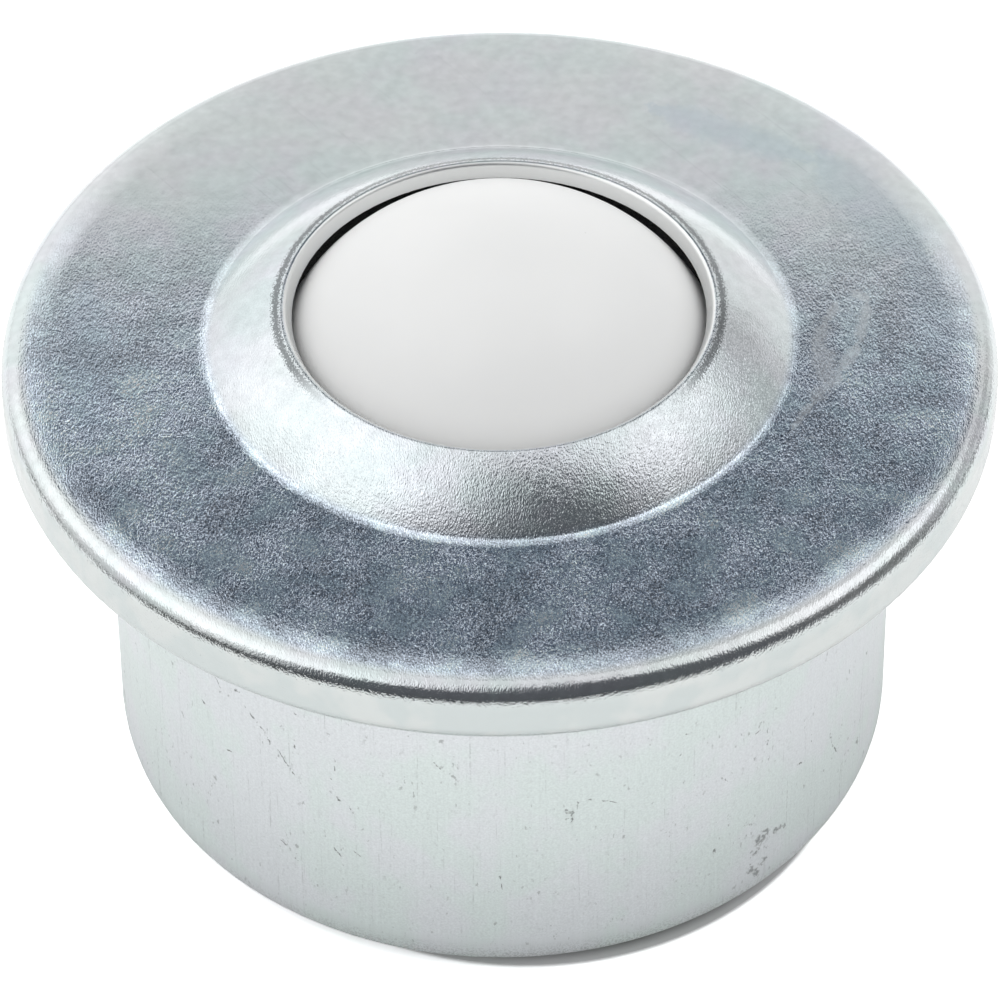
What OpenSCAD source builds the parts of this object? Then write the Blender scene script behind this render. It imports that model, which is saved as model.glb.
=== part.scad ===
// Flanged ball transfer unit: a plastic load ball that rolls in any direction
// on a bed of small steel balls, in a drawn cup closed by a folded sheet cover.
// Millimetres. Z runs up the axis of symmetry, and z = 0 is the cup's base.

/* [Load ball] */
// Diameter of the load ball
ball_d = 22.2; // [18:0.1:26]
// Height of the ball's crown above the crest of the cover's lip
ball_above_lip = 3.8; // [3.2:0.01:4.4]

/* [Bearing balls] */
// Diameter of one bearing ball
bearing_ball_d = 3.97; // [3.5:0.01:4.5]
// Running gap between the bearing balls and each of their raceways
running_gap = 0.05; // [0.02:0.01:0.08]
// Gap between one row of bearing balls and the next
row_gap = 0.2; // [0.15:0.01:0.3]
// Least gap between neighbours in a row
neighbour_gap = 0.1; // [0.08:0.01:0.15]
// Rows of bearing balls around the one at the bottom
ball_rows = 4; // [3:1:4]
// Free height above the top row
row_play = 0.17; // [0.1:0.01:0.4]

/* [Bearing seat] */
// Wall of the hardened seat
seat_wall = 1.2; // [1:0.05:1.5]
// Diameter of the flat that the seat stands on
seat_flat_d = 5; // [3:0.1:7]
// Gap between the seat's widest sphere and the wall of the cup
seat_fit = 0.03; // [0.01:0.01:0.1]

/* [Housing cup] */
// Sheet thickness of the cup
cup_sheet = 1.6; // [1.2:0.1:2]
// Outside radius of the corner at the cup's base
cup_corner_r = 2.2; // [1.9:0.1:4]
// Outside radius where the cup's wall turns out into its flange
cup_flange_bend_r = 0.6; // [0.3:0.1:1]

/* [Retaining ring] */
// Gap between the retaining ring and the wall of the cup
ring_fit = 0.05; // [0.02:0.01:0.1]
// Wall of the retaining ring's skirt
ring_skirt = 2.2; // [1.5:0.1:3]
// Thickness of the retaining ring's ledge
ring_ledge = 2.2; // [1.5:0.1:2.8]
// Gap between the ledge and the load ball's equator
ring_ball_gap = 0.25; // [0.15:0.05:0.5]
// Edge chamfer of the retaining ring
ring_chamfer = 0.3; // [0.1:0.1:0.6]

/* [Felt seal] */
// Gap between the felt seal and the load ball
seal_ball_gap = 0.12; // [0.1:0.01:0.3]
// Gap between the felt seal and the skirt around it
seal_fit = 0.05; // [0.02:0.01:0.1]

/* [Cover] */
// Sheet thickness of the cover
cover_sheet = 0.8; // [0.6:0.05:0.9]
// Width of the flange outside the cup's wall
flange_overhang = 4.5; // [4:0.1:6]
// Outside radius of the crown, where the flange's face begins to round off
edge_crown_r = 8; // [5:0.5:10]
// Slope at which the crown hands over to the shoulder
edge_crown_slope = 10; // [6:0.5:12]
// Outside radius of the shoulder
edge_shoulder_r = 1.25; // [1.1:0.05:1.6]
// Slope at which the shoulder hands over to the fold's upper bend
edge_shoulder_slope = 28; // [20:1:34]
// Outside radius of the two bends that fold the flange's edge
fold_bend_r = 0.95; // [0.92:0.01:1.1]
// Gap between the cup's flange and the fold around it
fold_gap = 0.15; // [0.1:0.01:0.25]
// Gap between the bevel on the cup's flange and the cover's rounded edge
bevel_gap = 0.05; // [0.03:0.01:0.15]
// Gap between the end of the fold and the bend of the cup
fold_end_gap = 0.4; // [0.2:0.05:0.8]
// Height of the collar's lip above the flange
collar_h = 2.15; // [1.9:0.01:2.4]
// Slope of the domed collar at its lip
lip_slope = 25; // [22:0.5:28]
// Slope of the domed collar at its foot
foot_slope = 38; // [35:0.5:40]
// Radius of the tight bend at the collar's foot
foot_bend_r = 0.5; // [0.3:0.05:0.8]
// Slope at which the tight bend hands over to the wide one
foot_ease_slope = 13; // [8:1:16]
// Radius of the wide bend that runs out into the flange
foot_ease_r = 1.5; // [1:0.1:3]
// Gap between the lip and the load ball
lip_gap = 0.35; // [0.25:0.01:0.5]
// Radius of the lip's rolled-over crest
lip_crest_r = 0.25; // [0.1:0.01:0.3]

/* [Hidden] */
$fn = 96;

// Radii, from the load ball outwards
ball_r = ball_d / 2;
bearing_r = bearing_ball_d / 2;
pitch_r = ball_r + running_gap + bearing_r;
raceway_r = pitch_r + bearing_r + running_gap;
seat_r = raceway_r + seat_wall;
cup_in_r = seat_r + seat_fit;
cup_r = cup_in_r + cup_sheet;
flange_r = cup_r + flange_overhang;

// Heights, from the cup's base upwards
seat_pole_h = sqrt(seat_r * seat_r - seat_flat_d * seat_flat_d / 4);
ball_z = cup_sheet + seat_pole_h;
lip_z = ball_z + ball_r - ball_above_lip;
face_z = lip_z - collar_h;
cup_top_z = face_z - cover_sheet;
cup_flange_z = cup_top_z - cup_sheet;
fold_z = cup_flange_z - cover_sheet;

// Lip: the place where its crest runs into the dome, and the lower corner of
// its cut edge, which keeps its gap to the load ball
dome_z = lip_z - lip_crest_r * (1 - cos(lip_slope));
lip_in_z = dome_z + lip_crest_r * sin(lip_slope) - cover_sheet * cos(lip_slope);
lip_in_r = sqrt(pow(ball_r + lip_gap, 2) - pow(lip_in_z - ball_z, 2));

// Collar: the height of the two bends at its foot, and the radius of its dome
foot_h = foot_bend_r * (cos(foot_ease_slope) - cos(foot_slope))
    + foot_ease_r * (1 - cos(foot_ease_slope));
dome_r = (dome_z - face_z - foot_h) / (cos(lip_slope) - cos(foot_slope));

// Flange: where its flat ends, and the depth of its rounded edge
flat_r = flange_r - edge_crown_r * sin(edge_crown_slope)
    - edge_shoulder_r * (sin(edge_shoulder_slope) - sin(edge_crown_slope))
    - fold_bend_r * (1 - sin(edge_shoulder_slope));
edge_h = edge_crown_r * (1 - cos(edge_crown_slope))
    + edge_shoulder_r * (cos(edge_crown_slope) - cos(edge_shoulder_slope))
    + fold_bend_r * cos(edge_shoulder_slope);

// Cup's flange: where it ends, and the depth of the bevel on its upper edge
flange_end_r = flange_r - cover_sheet - fold_gap;
flange_bevel = (edge_crown_r - cover_sheet) * (1 - cos(edge_crown_slope))
    + (edge_shoulder_r - cover_sheet) * (cos(edge_crown_slope) - cos(edge_shoulder_slope))
    + bevel_gap;

// Rows of bearing balls: the angle between rows, seen from the load ball's
// centre, how many balls a row holds and the turn between its neighbours
row_step = 2 * asin((bearing_ball_d + row_gap) / (2 * pitch_r));
function row_r(row) = pitch_r * sin(row * row_step);
function row_count(row) =
    floor(180 / asin((bearing_ball_d + neighbour_gap) / (2 * row_r(row))));
function row_turn(row, i) = (i + (row % 2) / 2) * 360 / row_count(row);
function bearing_name(row, i) =
    str("bearing_ball_row", row, "_", i < 9 ? "0" : "", i + 1);

// The seat ends, and the retaining ring starts, just above the top row
channel_z = ball_z - pitch_r * cos(ball_rows * row_step) + bearing_r + row_play;
ring_r = cup_in_r - ring_fit;
ring_hole_r = ball_r + ring_ball_gap;
skirt_in_r = ring_r - ring_skirt;
ledge_z = channel_z + ring_ledge;

zinc = [0.84, 0.87, 0.87];
zinc_grain = [0.62, 0.66, 0.71];
nylon = [0.93, 0.93, 0.93];
hard_steel = [0.5, 0.51, 0.53];
ball_steel = [0.76, 0.77, 0.79];
black_plastic = [0.09, 0.09, 0.1];
grey_felt = [0.17, 0.17, 0.17];

// A sector of a bend in sheet: the ring between in_r and in_r + sheet about a
// centre, from angle a0 to a1, less than half a turn apart
module bend(centre, in_r, sheet, a0, a1) {
    reach = 2 * (in_r + sheet);
    mid = (a0 + a1) / 2;
    translate(centre)
        intersection() {
            difference() {
                circle(r = in_r + sheet);
                circle(r = in_r);
            }
            polygon([
                [0, 0],
                reach * [cos(a0), sin(a0)],
                reach * 2 * [cos(mid), sin(mid)],
                reach * [cos(a1), sin(a1)]
            ]);
        }
}

// A flat length of sheet from radius r0 to r1, with its lower face at z
module plate(r0, r1, z, sheet) {
    translate([r0, z])
        square([r1 - r0, sheet]);
}

// An upright length of sheet from height z0 to z1, with its inner face at r
module upright(r, z0, z1, sheet) {
    translate([r, z0])
        square([sheet, z1 - z0]);
}

// A place on the sheet's outer skin is [r, z, heading]. A step along it is
// [radius, turn] for a bend, where a turn to the left is positive, or
// [0, length] for a straight run.
function place_along(from, step, share) =
    let (
        a = from[2],
        b = step[0] == 0 ? a : a + share * step[1],
        swing = step[0] * sign(step[1]),
        run = step[0] == 0 ? share * step[1] : 0
    )
    [
        from[0] + swing * (sin(b) - sin(a)) + run * cos(a),
        from[1] + swing * (cos(a) - cos(b)) + run * sin(a),
        b
    ];

// A bend's steps: each at most 6 degrees, and finer the wider the bend is
function step_count(step) =
    step[0] == 0 ? 1 : ceil(abs(step[1]) / min(6, 2.5 / sqrt(step[0])));

// Every place along a list of steps, each step starting where the last one ended
function walk(from, steps, i = 0) =
    i == len(steps)
        ? [from]
        : concat(
            [for (k = [0:step_count(steps[i]) - 1])
                place_along(from, steps[i], k / step_count(steps[i]))],
            walk(place_along(from, steps[i], 1), steps, i + 1)
        );

// The same place on the sheet's inner skin
function inner(place) =
    [place[0] + cover_sheet * sin(place[2]), place[1] - cover_sheet * cos(place[2])];

// Cover as one outline: up the lip's cut edge, over its crest, down the domed
// collar, out along the flange, down its edge, in under the cup's flange, and
// back along the inner skin
module top_cover_section() {
    fold_end_r = cup_r + cup_flange_bend_r + fold_end_gap;
    lip = [lip_in_r, lip_in_z, 90 - lip_slope];
    crest = walk(lip, [[0, cover_sheet - lip_crest_r], [lip_crest_r, -90]]);
    dome_in = crest[len(crest) - 1];
    foot = walk(dome_in, [
        [dome_r, lip_slope - foot_slope],
        [foot_bend_r, foot_slope - foot_ease_slope],
        [foot_ease_r, foot_ease_slope]
    ]);
    flat_in = foot[len(foot) - 1];
    edge = walk(flat_in, [
        [0, flat_r - flat_in[0]],
        [edge_crown_r, -edge_crown_slope],
        [edge_shoulder_r, edge_crown_slope - edge_shoulder_slope],
        [fold_bend_r, edge_shoulder_slope - 90],
        [0, face_z - edge_h - fold_z - fold_bend_r],
        [fold_bend_r, -90],
        [0, flange_r - fold_bend_r - fold_end_r]
    ]);
    skin = concat(foot, [for (k = [1:len(edge) - 1]) edge[k]]);
    polygon(concat(
        [for (k = [0:len(crest) - 2]) [crest[k][0], crest[k][1]]],
        [for (place = skin) [place[0], place[1]]],
        [for (k = [len(skin) - 1:-1:1]) inner(skin[k])]
    ));
}

module top_cover() {
    color(zinc_grain)
        rotate_extrude()
            top_cover_section();
}

// Cup: drawn base, corner and wall, turned out into a flange whose upper edge is
// bevelled to lie clear of the cover's rounded edge
module housing_cup_section() {
    corner_in_r = cup_corner_r - cup_sheet;
    corner_r = cup_r - cup_corner_r;
    turn_r = cup_r + cup_flange_bend_r;
    turn_z = cup_flange_z - cup_flange_bend_r;
    plate(0, corner_r, 0, cup_sheet);
    bend([corner_r, cup_corner_r], corner_in_r, cup_sheet, 270, 360);
    upright(cup_in_r, cup_corner_r, turn_z, cup_sheet);
    bend([turn_r, turn_z], cup_flange_bend_r, cup_sheet, 90, 180);
    polygon([
        [turn_r, cup_flange_z],
        [flange_end_r, cup_flange_z],
        [flange_end_r, cup_top_z - flange_bevel],
        [flat_r, cup_top_z],
        [turn_r, cup_top_z]
    ]);
}

module housing_cup() {
    color(zinc)
        rotate_extrude()
            housing_cup_section();
}

// Seat: a hardened half shell, flattened where it stands on the cup's base
module bearing_seat() {
    color(hard_steel)
        rotate_extrude()
            intersection() {
                translate([0, ball_z])
                    difference() {
                        circle(r = seat_r);
                        circle(r = raceway_r);
                    }
                translate([0, cup_sheet])
                    square([seat_r + 1, channel_z - cup_sheet]);
            }
}

// Retaining ring: a ledge that keeps the bearing balls down, and a skirt that
// the cover clamps against the seat
module retaining_ring() {
    color(black_plastic)
        rotate_extrude()
            polygon([
                [ring_hole_r, channel_z],
                [ring_r - ring_chamfer, channel_z],
                [ring_r, channel_z + ring_chamfer],
                [ring_r, cup_top_z - ring_chamfer],
                [ring_r - ring_chamfer, cup_top_z],
                [skirt_in_r, cup_top_z],
                [skirt_in_r, ledge_z],
                [ring_hole_r, ledge_z]
            ]);
}

// Felt seal: lies on the ledge, inside the skirt, and is shaped to the ball
module felt_seal() {
    color(grey_felt)
        rotate_extrude()
            difference() {
                translate([0, ledge_z])
                    square([skirt_in_r - seal_fit, cup_top_z - ledge_z]);
                translate([0, ball_z])
                    circle(r = ball_r + seal_ball_gap);
            }
}

module load_ball() {
    color(nylon)
        translate([0, 0, ball_z])
            sphere(d = ball_d);
}

module bearing_ball(row, i) {
    turn = row == 0 ? 0 : row_turn(row, i);
    color(ball_steel)
        translate([0, 0, ball_z])
            rotate([0, 0, turn])
                rotate([0, -row * row_step, 0])
                    translate([0, 0, -pitch_r])
                        sphere(d = bearing_ball_d);
}

housing_cup();
top_cover();
bearing_seat();
retaining_ring();
felt_seal();
load_ball();
bearing_ball(0, 0);  // bearing_ball_centre
for (row = [1:ball_rows])
    for (i = [0:row_count(row) - 1])
        bearing_ball(row, i);
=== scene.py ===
import logging
import math
from dataclasses import dataclass, field
from enum import Enum
from functools import reduce
from typing import Callable, Iterable, Optional, Sequence, Union

import bpy
import numpy as np
from mathutils import Matrix, Vector

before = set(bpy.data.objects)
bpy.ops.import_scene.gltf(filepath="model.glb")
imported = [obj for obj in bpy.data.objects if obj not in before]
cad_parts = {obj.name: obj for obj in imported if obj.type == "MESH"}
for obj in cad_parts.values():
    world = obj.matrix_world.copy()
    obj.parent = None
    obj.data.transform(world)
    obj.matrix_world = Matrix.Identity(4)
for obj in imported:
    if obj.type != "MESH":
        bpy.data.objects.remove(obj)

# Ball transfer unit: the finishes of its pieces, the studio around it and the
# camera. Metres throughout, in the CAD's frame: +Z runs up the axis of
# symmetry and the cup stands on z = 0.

log = logging.getLogger("ball_transfer_unit")

Socket = bpy.types.NodeSocket
Tree = bpy.types.NodeTree
Triple = tuple[float, float, float]
Colour = Triple
Span = tuple[float, float]
Rows = Sequence[tuple[float, float, float, float, float]]
Value = Union[float, Sequence[float], Socket]
Weighted = Iterable[tuple[Socket, Value]]

MM = 0.001
MICRON = 0.000001
MID_GREY = (0.5, 0.5, 0.5)
SHAKE_SIZE = 0.35
LENGTHS = {"Size", "Radius", "Around", "Along", "Cell", "Width", "Length"}


class Spread(Enum):
    """How a mask's edge runs from nothing to full."""

    LINEAR = "LINEAR"
    SMOOTH = "SMOOTHSTEP"


# ---------------------------------------------------------------- node graphs


class Graph:
    """Short calls for placing and joining the nodes of one node tree."""

    def __init__(self, tree: Tree) -> None:
        """Args:
            tree: the node tree that the nodes go into.
        """
        self.tree = tree

    def put(self, kind: str, values: Optional[dict] = None, **settings) -> bpy.types.Node:
        """Places one node.

        Args:
            kind: Blender's name for the node's type.
            values: what goes into its inputs, by name or number.
            settings: its properties.

        Returns:
            The new node.
        """
        node = self.tree.nodes.new(kind)
        for key, value in settings.items():
            setattr(node, key, value)
        for key, value in (values or {}).items():
            self.feed(node.inputs[key], value)
        return node

    def feed(self, socket: Socket, value: Value) -> None:
        """Links a socket to another one, or sets its value.

        Args:
            socket: the input.
            value: an output to link, or a plain value.
        """
        if isinstance(value, Socket):
            self.tree.links.new(value, socket)
        elif socket.type == "RGBA":
            socket.default_value = (*value, 1.0) if len(value) == 3 else value
        else:
            socket.default_value = value

    def math(self, operation: str, a: Value, b: Value = 0.0, c: Value = 0.0) -> Socket:
        """One step of arithmetic.

        Args:
            operation: Blender's name for it.
            a, b, c: its numbers.

        Returns:
            The result.
        """
        node = self.put("ShaderNodeMath", {0: a, 1: b, 2: c}, operation=operation)
        return node.outputs[0]

    def times(self, *factors: Value) -> Socket:
        """The product of some numbers."""
        return reduce(lambda a, b: self.math("MULTIPLY", a, b), factors)

    def most(self, *numbers: Value) -> Socket:
        """The largest of some numbers."""
        return reduce(lambda a, b: self.math("MAXIMUM", a, b), numbers)

    def vector(self, operation: str, a: Value, b: Value = (0, 0, 0), scale: Value = 1.0) -> Socket:
        """One step of vector arithmetic.

        Args:
            operation: Blender's name for it.
            a, b: its vectors.
            scale: the factor, for SCALE.

        Returns:
            The result, a number for LENGTH, DISTANCE and DOT_PRODUCT.
        """
        node = self.put("ShaderNodeVectorMath", {0: a, 1: b}, operation=operation)
        if operation == "SCALE":
            self.feed(node.inputs["Scale"], scale)
        number = operation in ("LENGTH", "DISTANCE", "DOT_PRODUCT")
        return node.outputs["Value" if number else "Vector"]

    def remap(
        self, value: Value, low: Value, high: Value, to_low: Value = 0.0, to_high: Value = 1.0,
        spread: Spread = Spread.SMOOTH,
    ) -> Socket:
        """Carries a number from one range to another, held at both ends.

        Args:
            value: the number.
            low, high: where the first range starts and ends.
            to_low, to_high: where the second range starts and ends.
            spread: how it runs between them.

        Returns:
            The number in the second range.
        """
        node = self.put("ShaderNodeMapRange", interpolation_type=spread.value, clamp=True)
        for key, number in zip(range(5), (value, low, high, to_low, to_high)):
            self.feed(node.inputs[key], number)
        return node.outputs[0]

    def blend(self, share: Value, a: Value, b: Value, mode: str = "MIX") -> Socket:
        """Mixes two colours.

        Args:
            share: how much of the second shows.
            a, b: the colours.
            mode: Blender's name for the way they mix.

        Returns:
            The mixed colour.
        """
        node = self.put("ShaderNodeMix", data_type="RGBA", blend_type=mode)
        for key, item in ((0, share), (6, a), (7, b)):
            self.feed(node.inputs[key], item)
        return node.outputs[2]

    def between(self, share: Value, a: Value, b: Value) -> Socket:
        """Mixes two numbers.

        Args:
            share: how much of the second counts.
            a, b: the numbers.

        Returns:
            The mixed number.
        """
        node = self.put("ShaderNodeMix", {0: share, 2: a, 3: b}, data_type="FLOAT")
        return node.outputs[0]

    def noise(self, point: Value, scale: Value, detail: float, rough: float) -> Sequence[Socket]:
        """Cloud noise.

        Args:
            point: where it is read.
            scale: how many features it has in a unit length.
            detail: how many finer layers it has.
            rough: how strong each finer layer is.

        Returns:
            Its value, and three such values as a colour.
        """
        values = {"Vector": point, "Scale": scale, "Detail": detail, "Roughness": rough}
        return self.put("ShaderNodeTexNoise", values).outputs

    def shaken(self, point: Value, size: Value, rough: float, reach: Value) -> Socket:
        """A point moved about by noise.

        Args:
            point: the point.
            size: how far apart its moves differ.
            rough: how strong each finer layer is.
            reach: how far it moves.

        Returns:
            The moved point.
        """
        shake = self.noise(point, self.math("DIVIDE", 1.0, size), 2.0, rough)[1]
        shake = self.vector("SUBTRACT", shake, MID_GREY)
        return self.vector("ADD", point, self.vector("SCALE", shake, scale=reach))

    def split(self, vector: Value) -> tuple[Socket, Socket, Socket]:
        """The x, y and z of a vector."""
        return tuple(self.put("ShaderNodeSeparateXYZ", {0: vector}).outputs)

    def join(self, x: Value, y: Value, z: Value) -> Socket:
        """A vector from three numbers."""
        return self.put("ShaderNodeCombineXYZ", {0: x, 1: y, 2: z}).outputs[0]


class Group(Graph):
    """A new shader node group with named inputs and outputs."""

    def __init__(
        self, name: str, vectors: Sequence[str], numbers: Sequence[str],
        outputs: Sequence[str] = ("Mask",),
    ) -> None:
        """Args:
            name: the group's name.
            vectors: the names of its inputs that are vectors.
            numbers: the names of its inputs that are numbers.
            outputs: the names of its outputs, all numbers.
        """
        super().__init__(bpy.data.node_groups.new(name, "ShaderNodeTree"))
        for names, way, kind in (
            (vectors, "INPUT", "Vector"), (numbers, "INPUT", "Float"), (outputs, "OUTPUT", "Float"),
        ):
            for key in names:
                self.tree.interface.new_socket(key, in_out=way, socket_type=f"NodeSocket{kind}")
        self.given = self.put("NodeGroupInput").outputs[: len(vectors) + len(numbers)]
        self.taken = self.put("NodeGroupOutput").inputs

    def give(self, key: str, value: Socket) -> None:
        """Sends a result to one of the group's outputs."""
        self.feed(self.taken[key], value)


class Effects:
    """The node groups that the finishes and the studio share, each built once."""

    def __init__(self) -> None:
        """Builds every group."""
        self.grain = self._grain()
        self.cloud = self._cloud()
        self.marks = self._marks()
        self.specks = self._specks()
        self.scratch = self._scratch()
        self.hairlines = self._hairlines()
        self.panel = self._panel()

    @staticmethod
    def _grain() -> Tree:
        """Fine grain: cloud noise read at the point divided by the grain's size.

        Returns:
            The group: Height runs about its mean of 0, within one either way.
        """
        g = Group("grain", ["Point"], ["Size"], ["Height"])
        point, size = g.given
        fine = g.noise(point, g.math("DIVIDE", 1.0, size), 1.0, 0.5)[0]
        g.give("Height", g.math("MULTIPLY_ADD", fine, 2.0, -1.0))
        return g.tree

    @staticmethod
    def _cloud() -> Tree:
        """Broad patches: noise at the patch's size, cut smoothly about its middle.

        Returns:
            The group: Mask is 1 in a patch, and Edge sets how soft its rim is.
        """
        g = Group("cloud", ["Point"], ["Size", "Level", "Edge"])
        point, size, level, edge = g.given
        patches = g.noise(point, g.math("DIVIDE", 1.0, size), 3.0, 0.55)[0]
        low, high = g.math("SUBTRACT", level, edge), g.math("ADD", level, edge)
        g.give("Mask", g.remap(patches, low, high))
        return g.tree

    @staticmethod
    def _marks() -> Tree:
        """Tool marks on a round piece: noise on a point whose turn about the axis,
        and whose distance along it plus its radius, are scaled apart, so that the
        noise is drawn out along one of them.

        Returns:
            The group: Height runs about 0, Line is 1 on the deepest marks.
        """
        numbers = ["Radius", "Around", "Along", "Seed"]
        g = Group("tool_marks", ["Point"], numbers, ["Height", "Line"])
        point, radius, around, along, seed = g.given
        x, y, z = g.split(point)
        away = g.math("SQRT", g.math("ADD", g.times(x, x), g.times(y, y)))
        turn = g.math("DIVIDE", radius, g.times(g.most(away, 1e-6), around))
        run = g.math("DIVIDE", g.math("ADD", z, away), along)
        point = g.join(g.math("MULTIPLY_ADD", x, turn, seed), g.times(y, turn), run)
        value = g.noise(point, 1.0, 3.0, 0.6)[0]
        g.give("Height", g.math("MULTIPLY_ADD", value, 2.0, -1.0))
        g.give("Line", g.remap(value, 0.36, 0.30))
        return g.tree

    @staticmethod
    def _specks() -> Tree:
        """Scattered specks: the distance to the nearest of a set of scattered
        points, kept where that point's own random number is below Share. The
        point is shaken first, so that the specks are ragged.

        Returns:
            The group: Mask is 1 on a speck.
        """
        g = Group("specks", ["Point"], ["Cell", "Radius", "Share", "Ragged"])
        point, cell, radius, share, ragged = g.given
        point = g.shaken(point, g.times(radius, 1.25), 0.7, g.times(ragged, radius))
        cells = g.put(
            "ShaderNodeTexVoronoi", {"Vector": point, "Scale": g.math("DIVIDE", 1.0, cell)},
            voronoi_dimensions="3D",
        ).outputs
        chance, size, _ = g.split(cells["Color"])
        reach = g.times(radius, g.math("MULTIPLY_ADD", size, 0.9, 0.35))
        near = g.remap(g.times(cells["Distance"], cell), reach, g.times(reach, 0.55))
        g.give("Mask", g.times(near, g.math("LESS_THAN", chance, share)))
        return g.tree

    @staticmethod
    def _scratch() -> Tree:
        """One scratch: the distance from the point to the straight line between
        two ends, against a width that fades towards both ends.

        Returns:
            The group: Mask is 1 in the scratch.
        """
        g = Group("scratch", ["Point", "Start", "End"], ["Width"])
        point, start, end, width = g.given
        offset = g.vector("SUBTRACT", point, start)
        line = g.vector("SUBTRACT", end, start)
        share = g.math(
            "DIVIDE", g.vector("DOT_PRODUCT", offset, line), g.vector("DOT_PRODUCT", line, line)
        )
        share = g.math("MINIMUM", g.most(share, 0.0), 1.0)
        nearest = g.vector("SCALE", line, scale=share)
        away = g.vector("LENGTH", g.vector("SUBTRACT", offset, nearest))
        middle = g.math("ABSOLUTE", g.math("MULTIPLY_ADD", share, 2.0, -1.0))
        middle = g.math("SUBTRACT", 1.0, middle)
        taper = g.math("MULTIPLY_ADD", g.remap(middle, 0, 0.5), 0.7, 0.3)
        width = g.times(width, taper)
        g.give("Mask", g.remap(away, width, g.times(width, 0.25)))
        return g.tree

    @staticmethod
    def _hairlines() -> Tree:
        """Fine random scratches, all in one direction: noise on a point turned
        about the axis and drawn out to Length, cut so that only its crests stay.

        Returns:
            The group: Mask is 1 on a scratch.
        """
        g = Group("hairlines", ["Point"], ["Angle", "Width", "Length", "Share"])
        point, angle, width, length, share = g.given
        turned = g.put(
            "ShaderNodeVectorRotate", {"Vector": point, "Angle": angle}, rotation_type="Z_AXIS"
        ).outputs[0]
        sizes = zip(g.split(turned), (length, width, width))
        point = g.join(*(g.math("DIVIDE", *pair) for pair in sizes))
        value = g.noise(point, 1.0, 1.0, 0.5)[0]
        edge = g.math("SUBTRACT", 0.78, g.times(share, 0.3))
        g.give("Mask", g.remap(value, edge, g.math("ADD", edge, 0.05)))
        return g.tree

    @staticmethod
    def _panel() -> Tree:
        """A studio panel, seen as a range of directions: full where both the
        azimuth, taken the short way round, and the elevation lie within half the
        panel's size of its centre, and fading out over its soft edge.

        Returns:
            The group: Mask is 1 inside the panel.
        """
        g = Group("studio_panel", [], [
            "Azimuth", "Elevation", "Centre azimuth", "Half width", "Centre elevation",
            "Half height", "Soft width", "Soft height",
        ])
        azimuth, elevation, across, half_width, up, half_height, soft_width, soft_height = g.given
        gap = g.math("WRAP", g.math("SUBTRACT", azimuth, across), 180.0, -180.0)
        rise = g.math("SUBTRACT", elevation, up)
        sides = []
        for value, half, soft in ((gap, half_width, soft_width), (rise, half_height, soft_height)):
            edge, away = g.times(soft, 0.5), g.math("ABSOLUTE", value)
            sides.append(g.remap(away, g.math("ADD", half, edge), g.math("SUBTRACT", half, edge)))
        g.give("Mask", g.times(*sides))
        return g.tree


# ------------------------------------------------------------------- finishes


def place(radius: float, angle: float, z: float) -> Vector:
    """A place given round the axis: the radius times the angle's cosine and sine,
    and the height.

    Args:
        radius: its distance from the axis, in millimetres.
        angle: its turn about the axis from +X, in degrees.
        z: its height, in millimetres.

    Returns:
        The place, in metres.
    """
    a = math.radians(angle)
    return Vector((radius * math.cos(a), radius * math.sin(a), z)) * MM


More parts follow.
